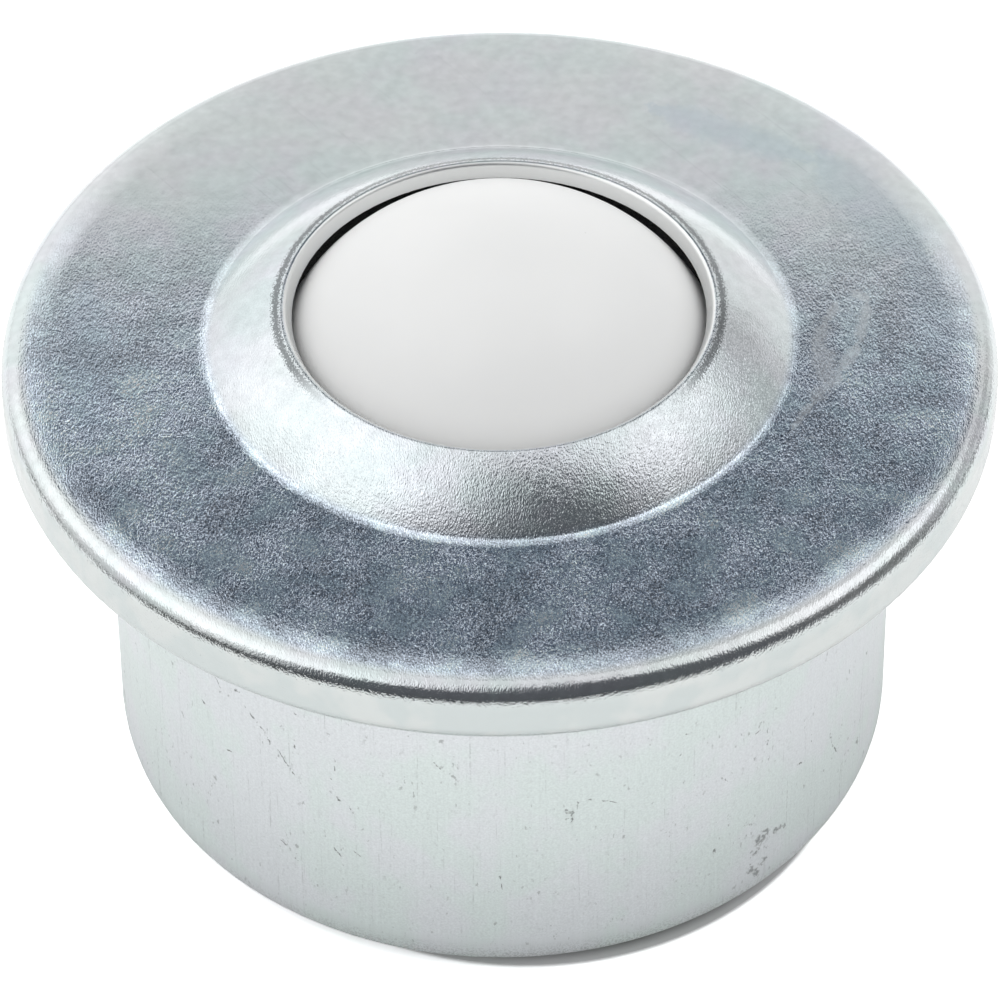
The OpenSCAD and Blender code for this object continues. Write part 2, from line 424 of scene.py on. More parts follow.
class Canvas(Graph):
    """A new material: its surface shader, its object coordinates, and short calls
    for what finishes have in common. Sizes are in millimetres."""

    def __init__(self, name: str, effects: Effects, roughness: float, metallic: float) -> None:
        """Args:
            name: the material's name.
            effects: the shared groups.
            roughness: how blurred its reflections are, where nothing feeds it.
            metallic: 1 for bare metal, 0 for the rest.
        """
        self.effects = effects
        self.material = bpy.data.materials.new(name)
        self.material.use_nodes = True
        super().__init__(self.material.node_tree)
        self.tree.nodes.clear()
        self.shader = self.put("ShaderNodeBsdfPrincipled")
        self.surface(Roughness=roughness, Metallic=metallic)
        out = self.put("ShaderNodeOutputMaterial")
        self.tree.links.new(self.shader.outputs[0], out.inputs[0])
        self.point = self.put("ShaderNodeTexCoord").outputs["Object"]

    def surface(self, **values: Value) -> None:
        """Sets or feeds the shader's sockets, with _ for a space in their names."""
        for key, value in values.items():
            self.feed(self.shader.inputs[key.replace("_", " ")], value)

    def relief(self, parts: Weighted) -> None:
        """Bends the shader's normal by a height.

        Args:
            parts: what the height is the sum of, with weights in thousandths of
                a millimetre.
        """
        height = self.total(parts)
        bump = self.put("ShaderNodeBump", {"Height": height, "Distance": MICRON, "Strength": 1.0})
        self.surface(Normal=bump.outputs[0])

    def total(self, parts: Weighted, base: float = 0.0) -> Socket:
        """A weighted sum.

        Args:
            parts: each value with its weight.
            base: what is added to them.

        Returns:
            The sum.
        """
        whole: Value = base
        for value, weight in parts:
            whole = self.math("MULTIPLY_ADD", value, weight, whole)
        return whole

    def ramp(self, length: Value, span: Span, low: Value = 0.0, high: Value = 1.0) -> Socket:
        """Carries a length from a span to another range, smoothly.

        Args:
            length: the length, in metres.
            span: where it starts and ends.
            low: the result at the span's start.
            high: the result at its end.

        Returns:
            The number in the second range.
        """
        return self.remap(length, span[0] * MM, span[1] * MM, low, high)

    def shaded(self, colour: Value, shade: Socket) -> Socket:
        """A colour times a number."""
        return self.blend(1.0, colour, self.join(shade, shade, shade), "MULTIPLY")

    def lay(
        self, group: Tree, stretch: Optional[Triple] = None, **values: float,
    ) -> Sequence[Socket]:
        """Places a shared effect, read at the object coordinates.

        Args:
            group: the effect's group.
            stretch: what x, y and z are multiplied by first.
            values: its inputs, with lengths in millimetres.

        Returns:
            Its outputs.
        """
        point = self.vector("MULTIPLY", self.point, stretch) if stretch else self.point
        scaled = {key: v * MM if key in LENGTHS else v for key, v in values.items()}
        return self.put("ShaderNodeGroup", {"Point": point, **scaled}, node_tree=group).outputs

    def strokes(self, rows: Rows, at: Callable[[float, float], Vector], wander: float) -> Socket:
        """The strongest of a set of strokes. The point is shaken by noise first, so
        that they wander.

        Args:
            rows: two numbers for each stroke's start, two for its end, and its width.
            at: what makes a place from two such numbers.
            wander: how far the strokes stray.

        Returns:
            A mask that is 1 in any of them.
        """
        point = self.shaken(self.point, SHAKE_SIZE * MM, 0.75, wander * MM)
        masks = [self.put("ShaderNodeGroup", {
            "Point": point, "Start": at(*row[:2]), "End": at(*row[2:4]), "Width": row[4] * MM,
        }, node_tree=self.effects.scratch).outputs[0] for row in rows]
        return self.most(*masks)


@dataclass(frozen=True)
class Finish:
    """One material: its name, its least roughness, and 1 for bare metal. A subclass
    paints it."""

    name: str = ""
    roughness: float = 0.5
    metallic: float = 1.0

    def build(self, effects: Effects) -> bpy.types.Material:
        """Makes the material.

        Args:
            effects: the shared groups.

        Returns:
            The material.
        """
        canvas = Canvas(self.name, effects, self.roughness, self.metallic)
        self.paint(canvas)
        return canvas.material

    def paint(self, c: Canvas) -> None:
        """Lays colour, roughness and relief on a new material.

        Args:
            c: the material.
        """
        raise NotImplementedError


@dataclass(frozen=True)
class CoverMasks:
    """What the cover's colour and its relief share: coordinates, the grain's
    facets, and masks for the folded edge, the flange's front (where a painted
    bluer reflection, a painted lift and stronger grain go), its tints and calm
    patches, and the marks rubbed into it."""

    y: Socket
    z: Socket
    radius: Socket
    facets: Socket
    edge: Socket
    wear_and_sheen: Socket
    tint: Socket
    calm: Socket
    rubbed: Socket


@dataclass(frozen=True)
class CoverZinc(Finish):
    """Bright zinc plate on the rolled cover: grained on its flange, smoother over
    the collar and the folded edge, with faint tints, bluish bands and rubbed
    marks. The flange's front has a painted bluer reflection and a painted lift,
    the folded edge a painted shade towards its crease, and round the lip, except
    at its front, lies a ragged ring of painted dark reflection. Lengths are in
    millimetres; a span says where something starts and where it is full."""

    name: str = "cover_zinc"
    roughness: float = 0.11
    pale: Colour = (0.72, 0.74, 0.735)
    green: Colour = (0.65, 0.73, 0.73)
    lilac: Colour = (0.68, 0.695, 0.735)
    blue: Colour = (0.57, 0.70, 0.79)
    violet: Colour = (0.58, 0.655, 0.765)
    band_blue: Colour = (0.50, 0.60, 0.68)
    rub: Colour = (0.82, 0.85, 0.86)
    folded: Colour = (0.61, 0.635, 0.622)
    folded_dull: Colour = (0.555, 0.60, 0.59)
    bare: Colour = (0.86, 0.87, 0.865)
    painted_dark_reflection: Colour = (0.11, 0.12, 0.125)
    dirt_and_shade: Colour = (0.16, 0.17, 0.17)

    face_z: float = 22.928
    edge_drop: Span = (-0.35, -0.9)
    edge_radius: Span = (21.4, 21.9)
    fold_z: Span = (19.5, 21.0)
    front_sheen_y: Span = (-6.0, 12.0)
    front_sheen_foot: Span = (12.9, 13.4)
    front_sheen_border: Span = (21.1, 21.7)
    ring_inside: Span = (9.85, 9.93)
    ring_outside: Span = (10.28, 10.12)
    ring_y: Span = (-7.0, -4.0)
    ring_ragged: float = 0.30
    cut_radius: Span = (9.72, 9.64)
    cut_z: Span = (24.2, 24.4)

    facet_size: float = 0.066
    facet_stretch: Triple = (1.0, 0.7, 1.0)
    mottle_size: float = 0.55
    facet_shade: float = 1.15
    mottle_shade: float = 0.12
    blotch_shade: float = 0.36
    painted_front_lift: float = 0.09
    band_share: float = 0.34
    rub_share: float = 0.4
    ring_share: float = 0.8

    rolled: Triple = (1.45, 0.55, 1.0)
    grain_size: float = 0.088
    swell_size: float = 0.34
    grain_height: float = 10.6
    swell_height: float = 4.6
    turned_height: float = 1.6
    hair_depth: float = 0.5
    edge_grain: float = 2.2
    edge_swell: float = 2.4
    flange_radius: Span = (12.8, 13.4)
    collar_y: Span = (-6.0, 4.0)
    flange_y: Span = (-4.0, 12.0)
    border_radius: Span = (21.2, 21.7)
    dish: Span = (13.4, 21.5)
    dish_slope: float = 0.0227
    roll: Span = (19.9, 21.9)
    roll_y: Span = (-8.0, -16.0)
    roll_height: float = 72.0

    marks: Rows = (
        (16.29, 10.4, 16.88, 7.9, 0.4), (16.88, 7.9, 16.14, -2.5, 0.42),
        (16.14, -2.5, 15.44, -9.3, 0.5), (15.51, 8.2, 14.78, 3.3, 0.32),
        (14.78, 3.3, 14.17, -4.7, 0.55), (15.44, -9.3, 14.59, -17.8, 0.6),
        (14.52, -2.7, 15.03, -12.9, 0.9), (14.59, -17.8, 14.35, -26.5, 0.3),
        (14.83, -26.5, 15.76, -26.2, 0.08), (17.99, -47.6, 21.2, -50.4, 0.07),
        (18.3, 146.6, 18.7, 146.6, 0.14), (18.65, 151.2, 19.0, 151.2, 0.16),
        (18.6, 149.5, 18.75, 149.5, 0.08),
    )
    marks_wander: float = 0.6
    blue_bands: Rows = (
        (19.6, 40.0, 19.8, 14.0, 2.1), (20.0, 18.0, 20.0, -6.0, 1.5),
        (19.2, 168.0, 19.4, 200.0, 1.6), (17.6, 66.0, 18.9, 40.0, 1.4),
    )
    bands_wander: float = 1.1

    def paint(self, c: Canvas) -> None:
        """Args:
            c: the material.
        """
        m = self._masks(c)
        cut = c.times(c.ramp(m.radius, self.cut_radius), c.ramp(m.z, self.cut_z))
        colour = c.blend(cut, self._plate(c, m), self.bare)
        specks = c.lay(c.effects.specks, Cell=1.3, Radius=0.07, Share=0.10, Ragged=1.5)[0]
        dirt_and_shade = c.times(specks, c.between(m.edge, 0.25, 0.5))
        c.surface(Base_Color=c.blend(dirt_and_shade, colour, self.dirt_and_shade))
        calm = c.times(m.calm, m.wear_and_sheen)
        matt = [(m.rubbed, 0.12), (calm, 0.08), (cut, 0.25), (dirt_and_shade, 0.25)]
        c.surface(Roughness=c.total(matt, self.roughness))
        self._relief(c, m, calm)

    def _on_flange(self, radius: float, angle: float) -> Vector:
        """A place on the flange's face."""
        return place(radius, angle, self.face_z)

    def _masks(self, c: Canvas) -> CoverMasks:
        """Works out what the colour and the relief share.

        Args:
            c: the material.

        Returns:
            The masks.
        """
        x, y, z = c.split(c.point)
        radius = c.vector("LENGTH", c.join(x, y, 0.0))
        drop = (self.face_z + self.edge_drop[0], self.face_z + self.edge_drop[1])
        # The flange's front, fading towards the rear, the collar's foot and the border: there the
        # plate gets a painted bluer reflection, a painted lift and stronger grain.
        wear_and_sheen = c.times(
            c.ramp(y, self.front_sheen_y, 1.0, 0.0), c.ramp(radius, self.front_sheen_foot, 0.15, 1.0),
            c.ramp(radius, self.front_sheen_border, 1.0, 0.0),
        )
        return CoverMasks(
            y=y, z=z, radius=radius, wear_and_sheen=wear_and_sheen,
            facets=c.lay(c.effects.grain, self.facet_stretch, Size=self.facet_size)[0],
            edge=c.times(c.ramp(z, drop), c.ramp(radius, self.edge_radius)),
            tint=c.lay(c.effects.cloud, Size=3.6, Level=0.5, Edge=0.14)[0],
            calm=c.lay(c.effects.cloud, Size=1.9, Level=0.54, Edge=0.15)[0],
            rubbed=c.strokes(self.marks, self._on_flange, self.marks_wander),
        )

    def _plate(self, c: Canvas, m: CoverMasks) -> Socket:
        """The plate's colour: pale tints; on the flange's front a painted bluer
        reflection, a painted lift and stronger facets; then the bluish bands, the
        rubbed marks, the folded edge with a painted shade towards its crease, and
        a dark ragged ring of painted dark reflection round the lip, except at its front.

        Args:
            c: the material.
            m: the masks.

        Returns:
            The colour.
        """
        wash = c.lay(c.effects.cloud, Size=9.0, Level=0.5, Edge=0.2)[0]
        colour = c.blend(m.tint, self.green, self.lilac)
        colour = c.blend(c.times(wash, 0.6), colour, self.pale)
        # Painted reflection and painted highlight: on the flange's front the colour turns
        # violet-blue or cyan-blue, and the shade below lifts it; the stronger facets and blotches
        # there are grain.
        colour = c.blend(c.times(m.wear_and_sheen, 0.9), colour, c.blend(m.calm, self.violet, self.blue))
        blotch = c.math("SUBTRACT", c.math("ADD", m.calm, m.tint), 1.0)
        shade = c.total([
            (c.times(m.facets, m.wear_and_sheen), self.facet_shade),
            (c.lay(c.effects.grain, Size=self.mottle_size)[0], self.mottle_shade),
            (c.times(blotch, m.wear_and_sheen), self.blotch_shade), (m.wear_and_sheen, self.painted_front_lift),
        ], 1.0)
        colour = c.shaded(colour, shade)
        # Broad, soft, darker bluish bands laid along the flange.
        on_bands = c.strokes(self.blue_bands, self._on_flange, self.bands_wander)
        colour = c.blend(c.times(on_bands, self.band_share), colour, self.band_blue)
        colour = c.blend(c.times(m.rubbed, self.rub_share), colour, self.rub)
        fold = c.blend(c.remap(m.tint, 0.2, 0.8), self.folded, self.folded_dull)
        # Painted shade: the darker folded colour covers fully at the fold's foot and less higher
        # up, so the fold darkens slightly towards its crease with the cup.
        colour = c.blend(c.times(m.edge, c.ramp(m.z, self.fold_z, 1.0, 0.9)), colour, fold)
        # Painted reflection: a dark ragged ring just outside the lip's crest, at its sides and
        # rear, stands in for a dark reflection there.
        ragged = c.math("MULTIPLY_ADD", m.facets, self.ring_ragged * MM, m.radius)
        ring = c.times(
            c.ramp(ragged, self.ring_inside), c.ramp(ragged, self.ring_outside),
            c.ramp(m.y, self.ring_y), self.ring_share,
        )
        return c.blend(ring, colour, self.painted_dark_reflection)

    def _relief(self, c: Canvas, m: CoverMasks, calm: Socket) -> None:
        """Bends the normal: a slight dish across the flange, a softer roll at the
        front of its border, the grain and swell of the rolled sheet, and turned
        marks on the folded edge.

        Args:
            c: the material.
            m: the masks.
            calm: where the flange's front is calmer.
        """
        smooth = c.between(
            c.ramp(m.radius, self.flange_radius), c.ramp(m.y, self.collar_y, 0.95, 0.2),
            c.ramp(m.y, self.flange_y, 1.0, 0.06),
        )
        keep = c.times(
            c.between(m.edge, c.between(calm, 1.0, 0.4), self.edge_grain),
            c.math("MULTIPLY_ADD", m.rubbed, -0.6, 1.0),
            c.ramp(m.radius, self.border_radius, 1.0, 0.6), smooth,
        )
        start, end = (r * MM for r in self.dish)
        fall = (end - start) * self.dish_slope / MICRON
        dish = c.remap(m.radius, start, end, 0.0, -fall, Spread.LINEAR)
        start, end = (r * MM for r in self.roll)
        roll = c.remap(m.radius, start, end, 0.0, 1.0, Spread.LINEAR)
        swell = c.between(m.edge, self.swell_height, self.swell_height * self.edge_swell)
        e = c.effects
        turned = c.lay(e.marks, Radius=22.0, Around=0.055, Along=0.16, Seed=3.0)[0]
        grain = c.lay(e.grain, self.rolled, Size=self.grain_size)[0]
        broad = c.lay(e.grain, self.rolled, Size=self.swell_size)[0]
        hairs = c.lay(e.hairlines, Angle=0.9, Width=0.09, Length=6.0, Share=0.25)[0]
        c.relief([
            (dish, 1.0), (c.times(roll, c.ramp(m.y, self.roll_y)), -self.roll_height),
            (grain, c.times(keep, self.grain_height)), (broad, c.times(smooth, swell)),
            (turned, c.times(m.edge, self.turned_height)), (hairs, -self.hair_depth),
        ])


@dataclass(frozen=True)
class CupZinc(Finish):
    """Zinc plate on the drawn cup: pale, with draw marks along the axis, faint
    tints, dark specks, short scratches and scuffs near the base, a painted shade
    that darkens the wall towards the bottom, and a grainy painted shade at the
    foot. Lengths are in millimetres."""

    name: str = "cup_zinc"
    roughness: float = 0.30
    green: Colour = (0.655, 0.715, 0.700)
    lilac: Colour = (0.680, 0.705, 0.720)
    grime_and_shade: Colour = (0.21, 0.22, 0.215)
    radius: float = 18.0
    low_z: Span = (0.0, 11.0)
    painted_low_shade: float = 0.89
    foot_z: Span = (3.0, 0.3)
    draw_shade: float = 0.05
    mottle_shade: float = 0.14
    speck_share: float = 0.38
    blot_share: float = 0.35
    fleck_share: float = 0.5
    line_share: Span = (0.03, 0.29)
    mark_share: float = 0.95
    scuff_share: float = 0.72
    foot_share: float = 0.72

    marks: Rows = (
        (-129.8, 13.5, -126.1, 12.6, 0.09), (-125.6, 12.3, -124.9, 11.8, 0.09),
        (-123.9, 11.8, -121.1, 10.6, 0.07), (-132.2, 14.1, -130.4, 14.3, 0.09),
        (-135.8, 14.3, -134.0, 13.6, 0.05), (-139.0, 12.0, -137.7, 11.8, 0.05),
        (-134.3, 9.9, -132.4, 10.0, 0.05), (-114.9, 10.4, -113.8, 10.0, 0.10),
        (-112.7, 9.9, -111.7, 9.5, 0.05), (-124.4, 6.0, -121.4, 5.5, 0.07),
        (-121.9, 5.2, -120.9, 5.1, 0.06), (-115.2, 6.9, -113.9, 6.4, 0.05),
        (-112.5, 7.2, -110.5, 6.7, 0.05), (-121.1, 13.0, -121.0, 12.4, 0.07),
        (-114.6, 12.8, -114.6, 11.7, 0.05), (-115.4, 11.4, -114.3, 11.1, 0.06),
        (-121.0, 14.7, -120.4, 14.6, 0.07), (-34.3, 7.9, -33.5, 6.7, 0.05),
        (-33.5, 6.7, -31.8, 5.7, 0.07), (-48.9, 11.5, -48.8, 10.3, 0.04),
        (-39.3, 9.5, -38.8, 7.6, 0.04), (-41.9, 7.6, -41.0, 7.5, 0.07),
        (-56.7, 9.8, -56.1, 9.5, 0.07), (-51.3, 11.6, -49.8, 11.7, 0.06),
        (-63.3, 13.7, -62.2, 13.8, 0.07), (-58.4, 5.5, -58.0, 5.2, 0.10),
        (-69.2, 13.9, -68.6, 14.2, 0.06), (-64.4, 12.5, -63.6, 12.7, 0.05),
        (-79.6, 11.2, -79.6, 10.7, 0.06), (-78.8, 11.3, -73.1, 10.6, 0.05),
        (-80.8, 10.6, -80.3, 9.9, 0.06), (-90.6, 7.1, -90.5, 5.8, 0.05),
        (-100.3, 13.9, -98.1, 13.3, 0.05), (22.0, 12.0, 26.0, 10.4, 0.05),
        (65.0, 9.0, 70.0, 7.8, 0.06), (101.0, 13.0, 101.4, 11.0, 0.05),
        (150.0, 6.0, 154.0, 5.1, 0.05), (171.0, 12.4, 173.0, 12.0, 0.07),
    )
    marks_wander: float = 0.3
    scuffs: Rows = (
        (-50.5, 4.3, -48.2, 4.7, 0.62), (-46.7, 4.4, -44.3, 4.2, 0.30),
        (-51.4, 3.6, -50.1, 4.0, 0.34), (-49.0, 3.0, -48.6, 2.7, 0.40),
        (-51.9, 3.1, -49.9, 2.1, 0.34), (-53.3, 6.0, -51.2, 6.0, 0.18),
        (-24.9, 4.6, -24.5, 4.2, 0.22), (-81.0, 10.8, -80.6, 10.3, 0.2),
        (38.0, 3.4, 41.0, 2.6, 0.4), (-170.0, 4.0, -168.5, 3.2, 0.3),
    )
    scuffs_wander: float = 0.9

    def paint(self, c: Canvas) -> None:
        """Args:
            c: the material.
        """
        e = c.effects
        _, _, z = c.split(c.point)
        drawn, line = c.lay(e.marks, Radius=self.radius, Around=0.12, Along=6.0, Seed=0.0)
        broad, _ = c.lay(e.marks, Radius=self.radius, Around=1.5, Along=14.0, Seed=7.0)
        patches = c.lay(e.cloud, Size=4.5, Level=0.5, Edge=0.16)[0]
        tint = c.math("MULTIPLY_ADD", broad, 0.5, patches)
        colour = c.blend(c.remap(tint, 0.1, 0.9), self.green, self.lilac)
        # Painted shade: the wall darkens towards the bottom, by 11 per cent at the floor.
        low = c.ramp(z, self.low_z, self.painted_low_shade, 1.0)
        fine = c.lay(e.grain, Size=0.1)[0]
        shade = [(drawn, self.draw_shade), (fine, self.mottle_shade), (low, 1.0)]
        colour = c.shaded(colour, c.total(shade))
        # Painted shade at the foot: darker over the last 3 mm above the floor, broken up by grain,
        # laid in one colour with the real specks, scratches and scuffs.
        dirt_and_shade = self._dirt_and_shade(c, line, c.times(c.ramp(z, self.foot_z), c.remap(fine, -0.2, 0.3)))
        matt = c.math("MULTIPLY_ADD", broad, 0.04, self.roughness)
        c.surface(
            Base_Color=c.blend(dirt_and_shade, colour, self.grime_and_shade),
            Roughness=c.math("MULTIPLY_ADD", dirt_and_shade, 0.3, matt),
        )
        grain = c.lay(e.grain, Size=0.14)[0]
        c.relief([(grain, 1.6), (drawn, 1.2), (line, -0.8), (broad, 4.0)])

    def _on_wall(self, angle: float, z: float) -> Vector:
        """A place on the cup's wall."""
        return place(self.radius, angle, z)

    def _dirt_and_shade(self, c: Canvas, line: Socket, foot: Socket) -> Socket:
        """Everything dark on the wall: specks, blots, flecks in clusters, the deepest
        draw marks, scratches, scuffs and a painted shade at the foot, the last four
        broken up by grain.

        Args:
            c: the material.
            line: the deepest draw marks.
            foot: the painted shade at the foot.

        Returns:
            How much of the dark colour shows: dirt and marks, and painted shade.
        """
        e = c.effects
        clusters = c.lay(e.cloud, Size=1.6, Level=0.56, Edge=0.06)[0]
        flecks = c.lay(e.cloud, (1.1, 1.1, 0.6), Size=0.25, Level=0.652, Edge=0.04)[0]
        broken = c.remap(c.lay(e.grain, Size=0.28)[0], -0.12, 0.06)
        lines = c.strokes(self.marks, self._on_wall, self.marks_wander)
        scuffs = c.strokes(self.scuffs, self._on_wall, self.scuffs_wander)
        wear_and_sheen = c.remap(c.lay(e.grain, Size=0.2)[0], -0.3, 0.08)
        specks = c.lay(e.specks, Cell=0.8, Radius=0.05, Share=0.12, Ragged=3.0)[0]
        blots = c.lay(e.specks, Cell=2.6, Radius=0.14, Share=0.14, Ragged=3.4)[0]
        return c.most(
            c.times(specks, self.speck_share), c.times(blots, self.blot_share),
            c.times(flecks, c.math("MULTIPLY_ADD", clusters, 0.8, 0.2), self.fleck_share),
            c.times(line, c.between(broken, *self.line_share)),
            c.times(lines, broken, self.mark_share), c.times(scuffs, wear_and_sheen, self.scuff_share),
            c.times(foot, self.foot_share),
        )


@dataclass(frozen=True)
class BallNylon(Finish):
    """White nylon, satin, with a faint mottle, a few pale grey specks and fine
    tracks from rolling."""

    name: str = "ball_nylon"
    roughness: float = 0.36
    metallic: float = 0.0
    white: Colour = (0.86, 0.865, 0.86)
    shade: Colour = (0.845, 0.85, 0.845)
    speck: Colour = (0.45, 0.45, 0.44)
    depth: float = 0.6

    def paint(self, c: Canvas) -> None:
        """Args:
            c: the material.
        """
        e = c.effects
        mottle = c.lay(e.cloud, Size=3.4, Level=0.5, Edge=0.35)[0]
        specks = c.lay(e.specks, Cell=1.9, Radius=0.045, Share=0.12, Ragged=1.0)[0]
        tracks = c.lay(e.hairlines, Angle=0.5, Width=0.07, Length=5.0, Share=0.2)[0]
        colour = c.blend(mottle, self.white, self.shade)
        c.surface(
            Base_Color=c.blend(c.times(specks, 0.5), colour, self.speck),
            Roughness=c.total([(mottle, 0.05), (tracks, 0.12)], self.roughness),
            Subsurface_Weight=0.12, Subsurface_Radius=(1.0, 0.95, 0.9),
            Subsurface_Scale=self.depth * MM,
        )
        c.relief([(c.lay(e.grain, Size=0.09)[0], 0.5), (tracks, -0.4)])


@dataclass(frozen=True)
class RingPlastic(Finish):
    """Black moulded nylon with an eroded mould texture and faint turned marks."""

    name: str = "ring_plastic"
    roughness: float = 0.38
    metallic: float = 0.0
    matt: float = 0.55
    black: Colour = (0.018, 0.018, 0.020)
    wear_and_sheen: Colour = (0.045, 0.045, 0.048)

    def paint(self, c: Canvas) -> None:
        """Args:
            c: the material.
        """
        rubbed = c.lay(c.effects.cloud, Size=1.6, Level=0.56, Edge=0.1)[0]
        turned = c.lay(c.effects.marks, Radius=15.0, Around=0.09, Along=0.12, Seed=1.0)[0]
        grain = c.lay(c.effects.grain, Size=0.11)[0]
        c.surface(
            Base_Color=c.blend(rubbed, self.black, self.wear_and_sheen),
            Roughness=c.remap(grain, -0.5, 0.5, self.roughness, self.matt),
        )
        c.relief([(grain, 3.0), (turned, 1.2)])


@dataclass(frozen=True)
class SealFelt(Finish):
    """Dark grey pressed felt: crossed fibres, with paler ones on top."""

    name: str = "seal_felt"
    roughness: float = 0.95
    metallic: float = 0.0
    dark: Colour = (0.030, 0.030, 0.031)
    fibre: Colour = (0.115, 0.113, 0.110)
    angles: Triple = (0.3, 1.25, 2.2)

    def paint(self, c: Canvas) -> None:
        """Args:
            c: the material.
        """
        fibres = c.most(*(
            c.lay(c.effects.hairlines, Angle=angle, Width=0.04, Length=0.5, Share=0.75)[0]
            for angle in self.angles
        ))
        clump = c.lay(c.effects.cloud, Size=0.5, Level=0.5, Edge=0.2)[0]
        shade = c.total([(fibres, 0.7), (clump, 0.3)])
        c.surface(
            Base_Color=c.blend(shade, self.dark, self.fibre),
            Sheen_Weight=0.35, Sheen_Roughness=0.6,
        )
        c.relief([(fibres, 18.0), (clump, 30.0)])


@dataclass(frozen=True)
class SeatSteel(Finish):
    """Hardened steel: a dull scaled outside with heat tints, and a raceway that
    the bearing balls have burnished. Lengths are in millimetres."""

    name: str = "seat_steel"
    roughness: float = 0.38
    matt: float = 0.55
    burnished: float = 0.16
    centre_z: float = 17.778
    raceway: Span = (15.27, 15.21)
    dull: Colour = (0.24, 0.245, 0.26)
    straw: Colour = (0.33, 0.29, 0.23)
    scaled: Colour = (0.13, 0.13, 0.14)
    bright: Colour = (0.56, 0.57, 0.58)
    track: Colour = (0.44, 0.45, 0.47)

    def paint(self, c: Canvas) -> None:
        """Args:
            c: the material.
        """
        away = c.vector("DISTANCE", c.point, (0.0, 0.0, self.centre_z * MM))
        inside = c.ramp(away, self.raceway)
        heat = c.lay(c.effects.cloud, Size=5.0, Level=0.55, Edge=0.12)[0]
        scale = c.lay(c.effects.cloud, Size=0.7, Level=0.5, Edge=0.1)[0]
        outer = c.blend(c.times(heat, 0.6), self.dull, self.straw)
        outer = c.blend(c.times(scale, 0.35), outer, self.scaled)
        track = c.lay(c.effects.marks, Radius=15.0, Around=0.18, Along=0.2, Seed=5.0)[0]
        inner = c.blend(c.remap(track, -0.6, 0.6), self.bright, self.track)
        rough = c.remap(scale, 0.0, 1.0, self.roughness, self.matt)
        c.surface(
            Base_Color=c.blend(inside, outer, inner),
            Roughness=c.between(inside, rough, self.burnished),
        )
        grain = c.lay(c.effects.grain, Size=0.15)[0]
        c.relief([(grain, c.between(inside, 5.0, 0.6)), (track, inside)])


@dataclass(frozen=True)
class BearingSteel(Finish):
    """Polished bearing steel with faint running tracks and a light oil film."""

    name: str = "bearing_steel"
    roughness: float = 0.07
    steel: Colour = (0.62, 0.63, 0.64)
    film: Colour = (0.55, 0.55, 0.52)

    def paint(self, c: Canvas) -> None:
        """Args:
            c: the material.
        """
        film = c.lay(c.effects.cloud, Size=1.1, Level=0.55, Edge=0.12)[0]
        tracks = c.lay(c.effects.hairlines, Angle=0.7, Width=0.05, Length=3.0, Share=0.35)[0]
        c.surface(
            Base_Color=c.blend(film, self.steel, self.film),
            Roughness=c.total([(film, 0.08), (tracks, 0.12)], self.roughness),
        )
        c.relief([(c.lay(c.effects.grain, Size=0.1)[0], 0.25), (tracks, -0.3)])


# --------------------------------------------------------------- sub-assemblies


@dataclass
class Assembly:
    """Pieces that belong together: each CAD node's name, or what the names of
    several start with, and its finish."""

    finishes: dict[str, Finish]

    def build(self, effects: Effects) -> int:
        """Puts each finish into the slots of its nodes.

        Args:
            effects: the shared groups.

        Returns:
            How many pieces were dressed.
        """
        count = 0
        for start, finish in self.finishes.items():
            material = finish.build(effects)
            for node in (n for name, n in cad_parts.items() if name.startswith(start)):
                for slot in node.material_slots:
                    slot.material = material
                count += 1
        return count


@dataclass
class Housing(Assembly):
    """The drawn cup and the sheet cover that is folded round its flange."""

    finishes: dict[str, Finish] = field(default_factory=lambda: {
        "housing_cup": CupZinc(), "top_cover": CoverZinc(),
    })


@dataclass
class LoadBall(Assembly):
    """The white ball that carries the goods."""

    finishes: dict[str, Finish] = field(default_factory=lambda: {"load_ball": BallNylon()})


@dataclass
class BearingBed(Assembly):
    """What lies inside the cup: the seat, its rows of balls, the ring that keeps
    them down and the felt that wipes the load ball."""

    finishes: dict[str, Finish] = field(default_factory=lambda: {
        "bearing_seat": SeatSteel(), "retaining_ring": RingPlastic(), "felt_seal": SealFelt(),
        "bearing_ball": BearingSteel(),
    })


# --------------------------------------------------------------------- studio


@dataclass(frozen=True)
class Panel:
    """A softbox or a dark flag, as a range of directions in degrees. Azimuth 0 is
    behind the object and 90 to its right; level is its brightness, 1 for white."""

    name: str
    azimuth: float
    half_width: float
    elevation: float
    half_height: float
    level: Colour
    soft_width: float = 14.0
    soft_height: float = 10.0


def grey(level: float) -> Colour:
    """A neutral brightness."""
    return (level, level, level)


